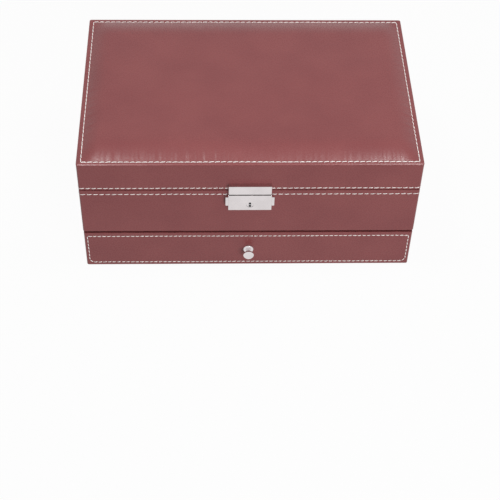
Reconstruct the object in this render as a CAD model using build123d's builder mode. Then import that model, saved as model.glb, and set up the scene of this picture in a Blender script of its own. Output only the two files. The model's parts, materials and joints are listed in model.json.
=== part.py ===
"""A two-tier watch storage case: a padded lid on a leather hinge, a tray of twelve watch
pillows, a lined drawer below it, and a snap lock with two sprung ears and a key plug.

The case stands on z = 0 with its base centred on the origin. X runs along the front,
and the front faces -Y. All sizes are in millimetres.
"""

import math
import os

from build123d import *

# Outer size of the case
case_width = 300.0
case_depth = 200.0

# The stack of heights, from the table upwards
felt_thickness = 0.6
bottom_thickness = 5.0
bay_height = 40.4
shelf_thickness = 4.0
tray_depth = 48.0
parting_gap = 0.8
lid_side_height = 29.6
panel_thickness = 1.6
crown_rise = 5.0

# Boards, leather and lining
board = 8.0
lid_top_thickness = 5.0
leather = 1.0
turned_leather = 0.8
lining = 1.0
lining_drop = 2.0
shelf_groove = 2.0
bottom_rebate = 4.0

# Rounding of the wrapped edges
corner_radius = 1.8
wrapped_edge = 0.7

# The rear hinge: a strip of leather outside and a strip of lining inside
hinge_strip_height = 8.0
hinge_lining_height = 18.0

# Padded top and the pad in the lid's roof
crown_inset = 4.5
crown_slope = 20.0
panel_edge = 1.1
panel_foot_edge = 0.4
pad_gap = 0.3
roof_pad_edge = 1.5
roof_pad_rise = 2.5
roof_pad_slope = 22.0

# Drawer
drawer_top_gap = 2.2
drawer_foot_gap = 0.8
drawer_end_inset = 0.3
drawer_face_gap = 0.5
drawer_run_clearance = 0.3
drawer_side_clearance = 1.2
drawer_headroom = 6.1
drawer_rear_space = 5.0
drawer_wall = 6.0
drawer_floor = 3.0
drawer_floor_rebate = 2.5
drawer_lining_drop = 1.5
drawer_divider_drop = 5.0

# Ring rolls in the drawer's left section
ring_section = 96.0
roll_width = 14.0
roll_gap = 1.4
roll_drop = 8.0
roll_end_gap = 0.3
seat_gap = 0.2

# Watch tray
cells_across = 6
divider_thickness = 2.4
divider_drop = 12.0
lap_clearance = 0.15
pillow_side_gap = 1.1
pillow_end_gap = 5.9
pillow_drop = 6.8
pillow_round = 14.0
pillow_draw = 5.0

# Knob, turned in one piece, and its screw
knob_flange_radius = 4.8
knob_flange_depth = 1.6
knob_neck_radius = 2.1
knob_neck_depth = 2.6
knob_head_radius = 4.8
knob_head_depth = 8.6
knob_length = 11.4
knob_screw_radius = 1.5
knob_screw_head_radius = 3.0
knob_screw_reach = 6.0

# Lock plates, as seen from the front
lock_width = 38.4
lock_height = 18.0
lock_edge = 0.5
hasp_inset = 0.3
hasp_height = 9.5
hasp_drop = 1.6
hasp_gap = 1.2
hasp_face_gap = 0.3
ear_proud = 0.1
ear_drop = 2.9
ear_height = 10.2
ear_root = 3.4
ear_edge = 0.6

# The lock's works, from the case's face outwards
lock_sheet = 0.8
catch_back_gap = 0.15
catch_sheet = 1.1
works_gap = 0.6
works_sheet = 1.2
works_play = 0.15

# Catches and the tongues that they hold
catch_travel = 2.4
catch_play = 0.4
slot_play = 0.3
slot_swing = 0.5
slot_fit = 0.2
tongue_width = 3.0
tongue_reach = 9.7
barb_width = 2.0
barb_height = 2.5
barb_lip = 0.8
nose_gap = 0.3
nose_height = 2.2
nose_play = 0.2
nose_lip = 0.5
upright_width = 2.0
bridge_height = 2.6

# Key plug, its rim, and the hooked tongue that the rim covers
key_drop = 11.2
plug_radius = 3.0
plug_clearance = 0.15
plug_recess = 0.2
plug_flange_radius = 3.6
key_slot_width = 2.0
key_slot_length = 5.2
post_radius = 0.85
post_recess = 0.3
rim_width = 1.2
rim_span = 52.0
rim_rest_end = 88.0
rim_arm_width = 1.6
key_turn = 90.0
stem_offset = 1.7
stem_width = 1.4
stem_back_play = 0.1
stem_swing = 0.35
foot_length = 3.8
foot_height = 1.0

# Leaf springs behind the catches
spring_sheet = 0.4
spring_length = 6.4
spring_bend = 0.8
spring_lug = 1.0
spring_play = 0.25

# Screws
screw_clearance = 0.1
lock_screw_inset = 3.0
lock_screw_radius = 0.9
lock_screw_head_radius = 1.6
lock_screw_head = 0.8
lock_screw_grip = 6.0
hasp_screw_offset = 7.0
hasp_screw_radius = 1.2
hasp_screw_head_radius = 2.0
hasp_boss_radius = 2.2
hasp_screw_reach = 3.0
hidden_head = 1.5
hidden_head_gap = 0.2

# Planes worked out from the sizes above
half_width = case_width / 2
half_depth = case_depth / 2
board_x = half_width - leather
board_y = half_depth - leather
inner_x = board_x - board
inner_y = board_y - board
lined_x = inner_x - lining
lined_y = inner_y - lining
bottom_top = felt_thickness + bottom_thickness
bay_top = bottom_top + bay_height
shelf_top = bay_top + shelf_thickness
tray_floor = shelf_top + lining
rim_top = shelf_top + tray_depth
board_top = rim_top - turned_leather
front_board_low = bay_top + turned_leather
lid_low = rim_top + parting_gap
lid_board_low = lid_low + turned_leather
lid_high = lid_low + lid_side_height
lid_roof = lid_high - lid_top_thickness
panel_top = lid_high + panel_thickness
hinge_z = rim_top + parting_gap / 2
strip_low = hinge_z - hinge_strip_height / 2
strip_high = hinge_z + hinge_strip_height / 2
fold_low = hinge_z - hinge_lining_height / 2
fold_high = hinge_z + hinge_lining_height / 2
flat_rear_x = half_width - corner_radius
drawer_back_of_face = -board_y + board
bay_front = drawer_back_of_face + drawer_face_gap
side_board_front = bay_front + turned_leather

os.makedirs("parts", exist_ok=True)


def keep(builder, name):
    """Labels a finished piece and writes it as one STEP file."""
    builder.part.label = name
    export_step(builder.part, f"parts/{name}.step")


def slab(x, y, z, mode=Mode.ADD):
    """A block between two x, two y and two z values."""
    middle = tuple((span[0] + span[1]) / 2 for span in (x, y, z))
    with Locations(middle):
        Box(x[1] - x[0], y[1] - y[0], z[1] - z[0], mode=mode)


def face_plane(reach):
    """The upright plane that stands this far in front of the case's leather."""
    return Plane.XZ.offset(half_depth + reach)


def front_rod(x, z, radius, back, front, mode=Mode.ADD):
    """A rod along Y, between two reaches in front of the case's leather."""
    with BuildSketch(face_plane(back)) as disc:
        with Locations((x, z)):
            Circle(radius)
    extrude(disc.sketch, amount=front - back, mode=mode)


def front_plate(x, z, back, front, mode=Mode.ADD):
    """A rectangle in X and Z, between two reaches in front of the case's leather."""
    slab(x, (-half_depth - front, -half_depth - back), z, mode)


def footprint(low, high):
    """The case's rounded outline, drawn up between two heights."""
    with BuildSketch(Plane.XY.offset(low)) as outline:
        RectangleRounded(case_width, case_depth, corner_radius)
    extrude(outline.sketch, amount=high - low)


def crowned_block(half_x, half_y, foot, shoulder, rise, slope):
    """A block that swells from its straight shoulder to a flat crown."""
    crest = shoulder + rise
    with BuildPart() as block:
        for plane, half, other, mode in (
            (Plane.YZ, half_y, half_x, Mode.ADD),
            (Plane.XZ, half_x, half_y, Mode.INTERSECT),
        ):
            with BuildSketch(plane):
                with BuildLine():
                    top = Line((slope - half, crest), (half - slope, crest))
                    right = TangentArc(top @ 1, (half, shoulder), tangent=(1, 0))
                    left = TangentArc(top @ 0, (-half, shoulder), tangent=(-1, 0))
                    Polyline(left @ 1, (-half, foot), (half, foot), right @ 1)
                make_face()
            extrude(amount=other, both=True, mode=mode)
    return block.part


# Heights and reaches of the lock, which the boards need for its screws
plate_front = lock_sheet
catch_back = plate_front + catch_back_gap
catch_front = catch_back + catch_sheet
works_back = catch_front + works_gap
works_front = works_back + works_sheet
cover_inside = works_front + works_play
lock_depth = cover_inside + lock_sheet
hasp_low = lid_low - hasp_drop
hasp_high = hasp_low + hasp_height
hasp_middle = (hasp_low + hasp_high) / 2
lock_high = hasp_low - hasp_gap
lock_low = lock_high - lock_height
hasp_x = lock_width / 2 - hasp_inset
ear_high = lock_high - ear_drop
ear_low = ear_high - ear_height
key_z = lock_high - key_drop
lock_screw_x = lock_width / 2 - lock_screw_inset
lock_screw_z = ear_low - lock_screw_head_radius - slot_play
hidden_reach = -leather - board + hidden_head

# Carcass boards
with BuildPart() as right_side_board:
    slab((inner_x, board_x), (-board_y, board_y), (felt_thickness, board_top))
    slab(
        (inner_x, board_x),
        (-board_y, side_board_front),
        (felt_thickness, front_board_low),
        Mode.SUBTRACT,
    )
    slab(
        (inner_x, inner_x + shelf_groove),
        (side_board_front, inner_y + shelf_groove),
        (bay_top, shelf_top),
        Mode.SUBTRACT,
    )
    slab(
        (inner_x, inner_x + bottom_rebate),
        (side_board_front, inner_y + bottom_rebate),
        (felt_thickness, bottom_top),
        Mode.SUBTRACT,
    )
with BuildPart() as left_side_board:
    mirror(right_side_board.part, about=Plane.YZ)
keep(right_side_board, "right_side_board")
keep(left_side_board, "left_side_board")

with BuildPart() as rear_board:
    slab((-inner_x, inner_x), (inner_y, board_y), (felt_thickness, board_top))
    slab(
        (-inner_x, inner_x),
        (inner_y, inner_y + shelf_groove),
        (bay_top, shelf_top),
        Mode.SUBTRACT,
    )
    slab(
        (-inner_x, inner_x),
        (inner_y, inner_y + bottom_rebate),
        (felt_thickness, bottom_top),
        Mode.SUBTRACT,
    )
keep(rear_board, "rear_board")

lock_screw_bore = lock_screw_radius + screw_clearance
lock_screw_end = -leather - lock_screw_grip
with BuildPart() as front_board:
    slab((-inner_x, inner_x), (-board_y, -inner_y), (front_board_low, board_top))
    for x in (-lock_screw_x, lock_screw_x):
        front_rod(
            x,
            lock_screw_z,
            lock_screw_bore,
            lock_screw_end - hidden_head_gap,
            0,
            Mode.SUBTRACT,
        )
keep(front_board, "front_board")

with BuildPart() as bottom_board:
    slab(
        (-inner_x - bottom_rebate, inner_x + bottom_rebate),
        (side_board_front, inner_y + bottom_rebate),
        (felt_thickness, bottom_top),
    )
keep(bottom_board, "bottom_board")

with BuildPart() as tray_floor_board:
    slab((-inner_x, inner_x), (-inner_y, inner_y + shelf_groove), (bay_top, shelf_top))
    slab(
        (-inner_x - shelf_groove, inner_x + shelf_groove),
        (side_board_front, inner_y),
        (bay_top, shelf_top),
    )
keep(tray_floor_board, "tray_floor_board")

with BuildPart() as bottom_felt:
    slab((-board_x, board_x), (side_board_front, board_y), (0, felt_thickness))
keep(bottom_felt, "bottom_felt")

# Leather round the sides and front, turned over the rim and into the drawer's mouth
with BuildPart() as case_leather:
    footprint(0, rim_top)
    fillet(case_leather.faces().sort_by(Axis.Z)[-1].outer_wire().edges(), wrapped_edge)
    slab(
        (-board_x, board_x), (side_board_front, board_y), (0, board_top), Mode.SUBTRACT
    )
    slab(
        (-board_x, board_x),
        (-board_y, side_board_front),
        (front_board_low, board_top),
        Mode.SUBTRACT,
    )
    slab((-inner_x, inner_x), (-inner_y, inner_y), (bay_top, rim_top), Mode.SUBTRACT)
    slab(
        (-half_width, half_width), (-half_depth, bay_front), (0, bay_top), Mode.SUBTRACT
    )
    slab(
        (-inner_x, inner_x),
        (bay_front, side_board_front),
        (bottom_top, bay_top),
        Mode.SUBTRACT,
    )
    slab((-flat_rear_x, flat_rear_x), (board_y, half_depth), (0, rim_top), Mode.SUBTRACT)
    slab(
        (-half_width, half_width),
        (board_y, half_depth),
        (strip_low, rim_top),
        Mode.SUBTRACT,
    )
    mouth_edges = case_leather.edges().filter_by(Axis.X).group_by(Axis.Y)[0]
    fillet(mouth_edges.sort_by(Axis.Z)[0], wrapped_edge)
    for x in (-lock_screw_x, lock_screw_x):
        front_rod(x, lock_screw_z, lock_screw_bore, -leather, 0, Mode.SUBTRACT)
keep(case_leather, "case_leather")

with BuildPart() as rear_leather:
    slab((-flat_rear_x, flat_rear_x), (board_y, half_depth), (0, strip_low))
keep(rear_leather, "rear_leather")

with BuildPart() as hinge_leather:
    footprint(strip_low, strip_high)
    slab(
        (-half_width, half_width),
        (board_y, half_depth),
        (strip_low, strip_high),
        Mode.INTERSECT,
    )
keep(hinge_leather, "hinge_leather")

with BuildPart() as hinge_lining:
    slab((-lined_x, lined_x), (lined_y, inner_y), (fold_low, fold_high))
keep(hinge_lining, "hinge_lining")

# Velvet of the watch tray: four walls and a floor, lower at the rear for the hinge lining
with BuildPart() as tray_lining:
    slab((-inner_x, inner_x), (-inner_y, inner_y), (shelf_top, rim_top - lining_drop))
    slab(
        (-lined_x, lined_x),
        (-lined_y, lined_y),
        (tray_floor, rim_top - lining_drop),
        Mode.SUBTRACT,
    )
    slab(
        (-lined_x, lined_x),
        (lined_y, inner_y),
        (fold_low, rim_top - lining_drop),
        Mode.SUBTRACT,
    )
keep(tray_lining, "tray_lining")

# Dividers, halved into each other
divider_top = rim_top - divider_drop
lap_height = (tray_floor + divider_top) / 2
lap_half = divider_thickness / 2 + lap_clearance
cell_width = (2 * lined_x - (cells_across - 1) * divider_thickness) / cells_across
cell_length = (2 * lined_y - divider_thickness) / 2
cell_pitch = cell_width + divider_thickness
first_cell = -lined_x + cell_width / 2
cross_places = [
    first_cell + cell_pitch * (place + 0.5) for place in range(cells_across - 1)
]

with BuildPart() as long_divider:
    slab(
        (-lined_x, lined_x),
        (-divider_thickness / 2, divider_thickness / 2),
        (tray_floor, divider_top),
    )
    for x in cross_places:
        slab(
            (x - lap_half, x + lap_half),
            (-divider_thickness / 2, divider_thickness / 2),
            (tray_floor, lap_height + lap_clearance),
            Mode.SUBTRACT,
        )
keep(long_divider, "long_divider")

for number, x in enumerate(cross_places, start=1):
    with BuildPart() as cross_divider:
        slab(
            (x - divider_thickness / 2, x + divider_thickness / 2),
            (-lined_y, lined_y),
            (tray_floor, divider_top),
        )
        slab(
            (x - divider_thickness / 2, x + divider_thickness / 2),
            (-lap_half, lap_half),
            (lap_height - lap_clearance, divider_top),
            Mode.SUBTRACT,
        )
    keep(cross_divider, f"cross_divider_{number}")

# Watch pillows: a rounded section along Y, fuller in the middle than at its ends
pillow_width = cell_width - 2 * pillow_side_gap
pillow_length = cell_length - 2 * pillow_end_gap
pillow_height = tray_depth - lining - seat_gap - pillow_drop
pillow_middle = tray_floor + seat_gap + pillow_height / 2
with BuildPart() as pillow_form:
    for x, draw in (
        (-pillow_width / 2, pillow_draw),
        (0, 0),
        (pillow_width / 2, pillow_draw),
    ):
        with BuildSketch(Plane.YZ.offset(x)):
            RectangleRounded(
                pillow_length - draw, pillow_height - draw, pillow_round - draw / 2
            )
    loft()

number = 0
for y in (-(cell_length + divider_thickness) / 2, (cell_length + divider_thickness) / 2):
    for place in range(cells_across):
        number += 1
        with BuildPart() as watch_pillow:
            with Locations((first_cell + cell_pitch * place, y, pillow_middle)):
                add(pillow_form.part)
        keep(watch_pillow, f"watch_pillow_{number}")

# Lid boards
with BuildPart() as lid_side_boards:
    slab((inner_x, board_x), (-board_y, board_y), (lid_board_low, lid_roof))
    mirror(about=Plane.YZ)
keep(lid_side_boards, "lid_side_boards")

hasp_bore = hasp_screw_radius + screw_clearance
with BuildPart() as lid_front_board:
    slab((-inner_x, inner_x), (-board_y, -inner_y), (lid_board_low, lid_roof))
    for x in (-hasp_screw_offset, hasp_screw_offset):
        front_rod(x, hasp_middle, hasp_bore, -leather - board, 0, Mode.SUBTRACT)
        front_rod(
            x,
            hasp_middle,
            hasp_screw_head_radius + screw_clearance,
            -leather - board,
            hidden_reach,
            Mode.SUBTRACT,
        )
keep(lid_front_board, "lid_front_board")

with BuildPart() as lid_rear_board:
    slab((-inner_x, inner_x), (inner_y, board_y), (lid_board_low, lid_roof))
keep(lid_rear_board, "lid_rear_board")

with BuildPart() as lid_top_board:
    slab((-board_x, board_x), (-board_y, board_y), (lid_roof, lid_high))
keep(lid_top_board, "lid_top_board")

# Lid leather
with BuildPart() as lid_leather:
    footprint(lid_low, lid_high)
    fillet(lid_leather.faces().sort_by(Axis.Z)[0].outer_wire().edges(), wrapped_edge)
    fillet(lid_leather.faces().sort_by(Axis.Z)[-1].outer_wire().edges(), wrapped_edge)
    slab(
        (-board_x, board_x), (-board_y, board_y), (lid_board_low, lid_high), Mode.SUBTRACT
    )
    slab(
        (-inner_x, inner_x), (-inner_y, inner_y), (lid_low, lid_board_low), Mode.SUBTRACT
    )
    slab(
        (-flat_rear_x, flat_rear_x), (board_y, half_depth), (lid_low, lid_high), Mode.SUBTRACT
    )
    slab(
        (-half_width, half_width), (board_y, half_depth), (lid_low, strip_high), Mode.SUBTRACT
    )
    for x in (-hasp_screw_offset, hasp_screw_offset):
        front_rod(x, hasp_middle, hasp_bore, -leather, 0, Mode.SUBTRACT)
keep(lid_leather, "lid_leather")

with BuildPart() as lid_rear_leather:
    slab((-flat_rear_x, flat_rear_x), (board_y, half_depth), (strip_high, lid_high))
    rear_top_edge = lid_rear_leather.edges().filter_by(Axis.X).group_by(Axis.Y)[-1]
    fillet(rear_top_edge.sort_by(Axis.Z)[-1], wrapped_edge)
keep(lid_rear_leather, "lid_rear_leather")

# Padded top: a leather cover with a flat hem, over a foam pad
crown_x = half_width - crown_inset
crown_y = half_depth - crown_inset
crown_outside = crowned_block(
    crown_x, crown_y, lid_high, panel_top, crown_rise, crown_slope
)
crown_inside = crowned_block(
    crown_x - leather, crown_y - leather, lid_high, panel_top - leather, crown_rise, crown_slope
)
with BuildPart() as top_cover:
    footprint(lid_high, panel_top)
    fillet(top_cover.faces().sort_by(Axis.Z)[-1].edges(), panel_edge)
    fillet(top_cover.faces().sort_by(Axis.Z)[0].edges(), panel_foot_edge)
    add(crown_outside)
    add(crown_inside, mode=Mode.SUBTRACT)
keep(top_cover, "top_cover")

pad_inset = leather + pad_gap
with BuildPart() as top_pad:
    add(
        crowned_block(
            crown_x - pad_inset,
            crown_y - pad_inset,
            lid_high,
            panel_top - pad_inset,
            crown_rise,
            crown_slope,
        )
    )
keep(top_pad, "top_pad")

# Linings of the lid
with BuildPart() as lid_wall_lining:
    slab((-inner_x, inner_x), (-inner_y, inner_y), (lid_low + lining_drop, lid_roof))
    slab(
        (-lined_x, lined_x),
        (-lined_y, lined_y),
        (lid_low + lining_drop, lid_roof),
        Mode.SUBTRACT,
    )
    slab(
        (-lined_x, lined_x),
        (lined_y, inner_y),
        (lid_low + lining_drop, fold_high),
        Mode.SUBTRACT,
    )
keep(lid_wall_lining, "lid_wall_lining")

with BuildPart() as lid_roof_pad:
    add(
        crowned_block(
            lined_x - pad_gap,
            lined_y - pad_gap,
            lid_roof,
            lid_roof - roof_pad_edge,
            -roof_pad_rise,
            roof_pad_slope,
        )
    )
keep(lid_roof_pad, "lid_roof_pad")

# Drawer front: a board wrapped in leather
drawer_low = drawer_foot_gap
drawer_high = bay_top - drawer_top_gap
drawer_x = half_width - drawer_end_inset
knob_z = (drawer_low + drawer_high) / 2
box_front = drawer_back_of_face
box_back = inner_y - drawer_rear_space
box_x = inner_x - drawer_side_clearance
box_low = bottom_top + drawer_run_clearance
box_high = bay_top - drawer_headroom
well_x = box_x - drawer_wall
well_front = box_front + drawer_wall
well_back = box_back - drawer_wall
well_floor = box_low + drawer_floor
knob_bore = knob_screw_radius + screw_clearance

with BuildPart() as drawer_front_board:
    slab(
        (-drawer_x + leather, drawer_x - leather),
        (-board_y, drawer_back_of_face),
        (drawer_low + turned_leather, drawer_high - turned_leather),
    )
    front_rod(0, knob_z, knob_bore, -leather - board, 0, Mode.SUBTRACT)
keep(drawer_front_board, "drawer_front_board")

with BuildPart() as drawer_front_leather:
    slab(
        (-drawer_x, drawer_x),
        (-half_depth, drawer_back_of_face),
        (drawer_low, drawer_high),
    )
    front_corners = drawer_front_leather.edges().filter_by(Axis.Z).group_by(Axis.Y)[0]
    fillet(front_corners, corner_radius)
    fillet(drawer_front_leather.faces().sort_by(Axis.Y)[0].edges(), wrapped_edge)
    slab(
        (-drawer_x + leather, drawer_x - leather),
        (-board_y, drawer_back_of_face),
        (drawer_low + turned_leather, drawer_high - turned_leather),
        Mode.SUBTRACT,
    )
    front_rod(0, knob_z, knob_bore, -leather, 0, Mode.SUBTRACT)
keep(drawer_front_leather, "drawer_front_leather")

# Drawer box, with its floor let into a rebate
knob_head_seat = -leather - board - drawer_wall + hidden_head
with BuildPart() as drawer_box:
    slab((-box_x, box_x), (box_front, box_back), (box_low, box_high))
    slab((-well_x, well_x), (well_front, well_back), (box_low, box_high), Mode.SUBTRACT)
    slab(
        (-well_x - drawer_floor_rebate, well_x + drawer_floor_rebate),
        (well_front - drawer_floor_rebate, well_back + drawer_floor_rebate),
        (box_low, well_floor),
        Mode.SUBTRACT,
    )
    front_rod(
        0, knob_z, knob_bore, -leather - board - drawer_wall, -leather, Mode.SUBTRACT
    )
    front_rod(
        0,
        knob_z,
        knob_screw_head_radius + screw_clearance,
        -leather - board - drawer_wall,
        knob_head_seat,
        Mode.SUBTRACT,
    )
keep(drawer_box, "drawer_box")

with BuildPart() as drawer_bottom:
    slab(
        (-well_x - drawer_floor_rebate, well_x + drawer_floor_rebate),
        (well_front - drawer_floor_rebate, well_back + drawer_floor_rebate),
        (box_low, well_floor),
    )
keep(drawer_bottom, "drawer_bottom")

velvet_floor = well_floor + lining
with BuildPart() as drawer_lining:
    slab(
        (-well_x, well_x), (well_front, well_back), (well_floor, box_high - drawer_lining_drop)
    )
    slab(
        (-well_x + lining, well_x - lining),
        (well_front + lining, well_back - lining),
        (velvet_floor, box_high - drawer_lining_drop),
        Mode.SUBTRACT,
    )
keep(drawer_lining, "drawer_lining")

# Two dividers: one beside the ring rolls, one halfway along the rest of the drawer
section_start = -well_x + lining
section_end = section_start + ring_section
rest_start = section_end + divider_thickness
rest_middle = (rest_start + well_x - lining) / 2
with BuildPart() as drawer_dividers:
    for x in (section_end + divider_thickness / 2, rest_middle):
        slab(
            (x - divider_thickness / 2, x + divider_thickness / 2),
            (well_front + lining, well_back - lining),
            (velvet_floor, box_high - drawer_divider_drop),
        )
keep(drawer_dividers, "drawer_dividers")

roll_count = math.floor((ring_section - roll_gap) / (roll_width + roll_gap))
roll_pitch = ring_section / roll_count
roll_low = velvet_floor + seat_gap
roll_high = box_high - roll_drop
with BuildPart() as ring_rolls:
    with BuildSketch(Plane.XZ.offset(-well_back + lining + roll_end_gap)):
        for place in range(roll_count):
            x = section_start + roll_pitch * (place + 0.5)
            with BuildLine():
                base = Polyline(
                    (x - roll_width / 2, roll_high - roll_width / 2),
                    (x - roll_width / 2, roll_low),
                    (x + roll_width / 2, roll_low),
                    (x + roll_width / 2, roll_high - roll_width / 2),
                )
                ThreePointArc(base @ 1, (x, roll_high), base @ 0)
            make_face()
    extrude(amount=well_back - well_front - 2 * (lining + roll_end_gap))
keep(ring_rolls, "ring_rolls")

# Knob: flange, waisted neck, flared head and domed front, turned about its axis
with BuildPart() as drawer_knob:
    turning = Plane(origin=(0, -half_depth, knob_z), x_dir=(1, 0, 0), z_dir=(0, 0, -1))
    with BuildSketch(turning):
        with BuildLine():
            seat = Polyline(
                (knob_bore, knob_screw_reach + hidden_head_gap),
                (knob_bore, 0),
                (knob_flange_radius, 0),
                (knob_flange_radius, knob_flange_depth / 2),
            )
            cove = EllipticalCenterArc(
                (knob_neck_radius, knob_flange_depth / 2),
                knob_flange_radius - knob_neck_radius,
                knob_neck_depth - knob_flange_depth / 2,
                start_angle=0,
                arc_size=90,
            )
            flare = Spline(
                cove @ 1,
                (knob_head_radius, knob_head_depth),
                tangents=((0, 1), (0, 1)),
            )
            dome = TangentArc(
                (0, knob_length), (knob_head_radius, knob_head_depth), tangent=(1, 0)
            )
            Polyline(dome @ 0, (0, knob_screw_reach + hidden_head_gap), seat @ 0)
        make_face()
    revolve(axis=Axis((0, -half_depth, knob_z), (0, -1, 0)))
keep(drawer_knob, "drawer_knob")

with BuildPart() as knob_screw:
    front_rod(0, knob_z, knob_screw_radius, knob_head_seat, knob_screw_reach)
    front_rod(
        0,
        knob_z,
        knob_screw_head_radius,
        -leather - board - drawer_wall + hidden_head_gap,
        knob_head_seat,
    )
keep(knob_screw, "knob_screw")

# Places of the catches, from the ear inwards
half_lock = lock_width / 2
ear_reach = catch_travel + ear_proud
ear_in = half_lock - ear_root
tongue_out = ear_in - catch_travel - catch_play
tongue_in = tongue_out - tongue_width
barb_tip = tongue_in - barb_width
upright_out = barb_tip - catch_play
upright_in = upright_out - upright_width
nose_tip = tongue_in - nose_play
tongue_low = hasp_low - tongue_reach
barb_high = tongue_low + barb_height
nose_low = barb_high + nose_gap
nose_high = nose_low + nose_height
bridge_high = tongue_low - catch_play
bridge_low = bridge_high - bridge_height

# Heights of the key plug's hooked tongue and of the rim that covers it
foot_low = key_z + plug_flange_radius + catch_play
foot_high = foot_low + foot_height
rim_inner = foot_high + catch_play - key_z
rim_outer = rim_inner + rim_width
stem_left = stem_offset - stem_width / 2
stem_right = stem_offset + stem_width / 2
foot_left = stem_right - foot_length
stem_back = works_back + stem_back_play
stem_front = cover_inside - stem_swing

# Hasp: a hollow cap on the lid, with two barbed tongues and one hooked tongue
with BuildPart() as hasp:
    front_plate((-hasp_x, hasp_x), (hasp_low, hasp_high), 0, lock_depth)
    hasp_front = hasp.faces().sort_by(Axis.Y)[0]
    fillet(
        hasp_front.edges() + hasp.edges().filter_by(Axis.Y),
        lock_edge,
    )
    front_plate(
        (-hasp_x + lock_sheet, hasp_x - lock_sheet),
        (hasp_low + lock_sheet, hasp_high - lock_sheet),
        0,
        cover_inside,
        Mode.SUBTRACT,
    )
    front_plate(
        (-hasp_x, hasp_x), (hasp_low, lid_low), 0, hasp_face_gap, Mode.SUBTRACT
    )
    for x in (-hasp_screw_offset, hasp_screw_offset):
        front_rod(x, hasp_middle, hasp_boss_radius, 0, cover_inside)
        front_rod(
            x, hasp_middle, hasp_bore, 0, hasp_screw_reach + hidden_head_gap, Mode.SUBTRACT
        )
    with BuildSketch(face_plane(catch_back)):
        with BuildLine():
            Polyline(
                (tongue_in, hasp_low + lock_sheet),
                (tongue_in, barb_high),
                (barb_tip, barb_high),
                (barb_tip, barb_high - barb_lip),
                (tongue_in, tongue_low),
                (tongue_out, tongue_low),
                (tongue_out, hasp_low + lock_sheet),
                close=True,
            )
        make_face()
        mirror(about=Plane.YZ)
    extrude(amount=catch_sheet)
    front_plate((stem_left, stem_right), (foot_low, hasp_low + lock_sheet), stem_back, stem_front)
    front_plate((foot_left, stem_right), (foot_low, foot_high), stem_back, stem_front)
keep(hasp, "hasp")

with BuildPart() as hasp_screws:
    for x in (-hasp_screw_offset, hasp_screw_offset):
        front_rod(x, hasp_middle, hasp_screw_radius, hidden_reach, hasp_screw_reach)
        front_rod(
            x,
            hasp_middle,
            hasp_screw_head_radius,
            -leather - board + hidden_head_gap,
            hidden_reach,
        )
keep(hasp_screws, "hasp_screws")

# Lock case: a cover with slots for the tongues and ears and a hole for the key plug
with BuildPart() as lock_case:
    front_plate((-half_lock, half_lock), (lock_low, lock_high), 0, lock_depth)
    lock_front = lock_case.faces().sort_by(Axis.Y)[0]
    fillet(lock_front.edges() + lock_case.edges().filter_by(Axis.Y), lock_edge)
    front_plate(
        (-half_lock + lock_sheet, half_lock - lock_sheet),
        (lock_low + lock_sheet, lock_high - lock_sheet),
        0,
        cover_inside,
        Mode.SUBTRACT,
    )
    for side in (-1, 1):
        tongue_ends = sorted(
            (side * (barb_tip - slot_play), side * (tongue_out + slot_play))
        )
        front_plate(
            tongue_ends,
            (lock_high - lock_sheet, lock_high),
            0,
            catch_front + slot_swing,
            Mode.SUBTRACT,
        )
    front_plate(
        (foot_left - slot_play, stem_right + slot_play),
        (lock_high - lock_sheet, lock_high),
        works_back - stem_back_play,
        cover_inside,
        Mode.SUBTRACT,
    )
    front_plate(
        (-half_lock, half_lock),
        (ear_low - slot_fit, ear_high + slot_fit),
        plate_front,
        cover_inside,
        Mode.SUBTRACT,
    )
    front_rod(0, key_z, plug_radius + plug_clearance, cover_inside, lock_depth, Mode.SUBTRACT)
keep(lock_case, "lock_case")

# Back plate, with the lug that both springs lean on
lug_high = nose_high
lug_low = lug_high - spring_length
with BuildPart() as lock_back_plate:
    front_plate(
        (-half_lock + lock_sheet + screw_clearance, half_lock - lock_sheet - screw_clearance),
        (lock_low + lock_sheet + screw_clearance, lock_high - lock_sheet - screw_clearance),
        0,
        plate_front,
    )
    front_plate((-spring_lug, spring_lug), (lug_low, lug_high), plate_front, catch_front)
    for x in (-lock_screw_x, lock_screw_x):
        front_rod(x, lock_screw_z, lock_screw_bore, 0, plate_front, Mode.SUBTRACT)
keep(lock_back_plate, "lock_back_plate")

with BuildPart() as lock_screws:
    for x in (-lock_screw_x, lock_screw_x):
        front_rod(x, lock_screw_z, lock_screw_radius, lock_screw_end, plate_front)
        front_rod(
            x, lock_screw_z, lock_screw_head_radius, plate_front, plate_front + lock_screw_head
        )
keep(lock_screws, "lock_screws")

with BuildPart() as keyhole_post:
    front_rod(0, key_z, post_radius, plate_front, lock_depth - post_recess)
keep(keyhole_post, "keyhole_post")

# Key plug, with the curved rim that swings over the hasp's hooked tongue
rim_start = rim_rest_end + key_turn
with BuildPart() as key_plug:
    front_rod(0, key_z, plug_flange_radius, works_back, works_front)
    front_rod(0, key_z, plug_radius, works_front, lock_depth - plug_recess)
    with BuildSketch(face_plane(works_back)):
        with BuildLine():
            outer = CenterArc((0, key_z), rim_outer, rim_start, rim_span)
            inner = CenterArc((0, key_z), rim_inner, rim_start, rim_span)
            Line(outer @ 0, inner @ 0)
            Line(outer @ 1, inner @ 1)
        make_face()
        with Locations(Location((0, key_z, 0), (0, 0, rim_start + rim_span))):
            Rectangle(
                rim_outer - rim_width / 2, rim_arm_width, align=(Align.MIN, Align.MAX)
            )
    extrude(amount=works_sheet)
    front_plate(
        (-key_slot_width / 2, key_slot_width / 2),
        (key_z - key_slot_length / 2, key_z + key_slot_length / 2),
        works_back,
        lock_depth,
        Mode.SUBTRACT,
    )
keep(key_plug, "key_plug")

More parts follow.
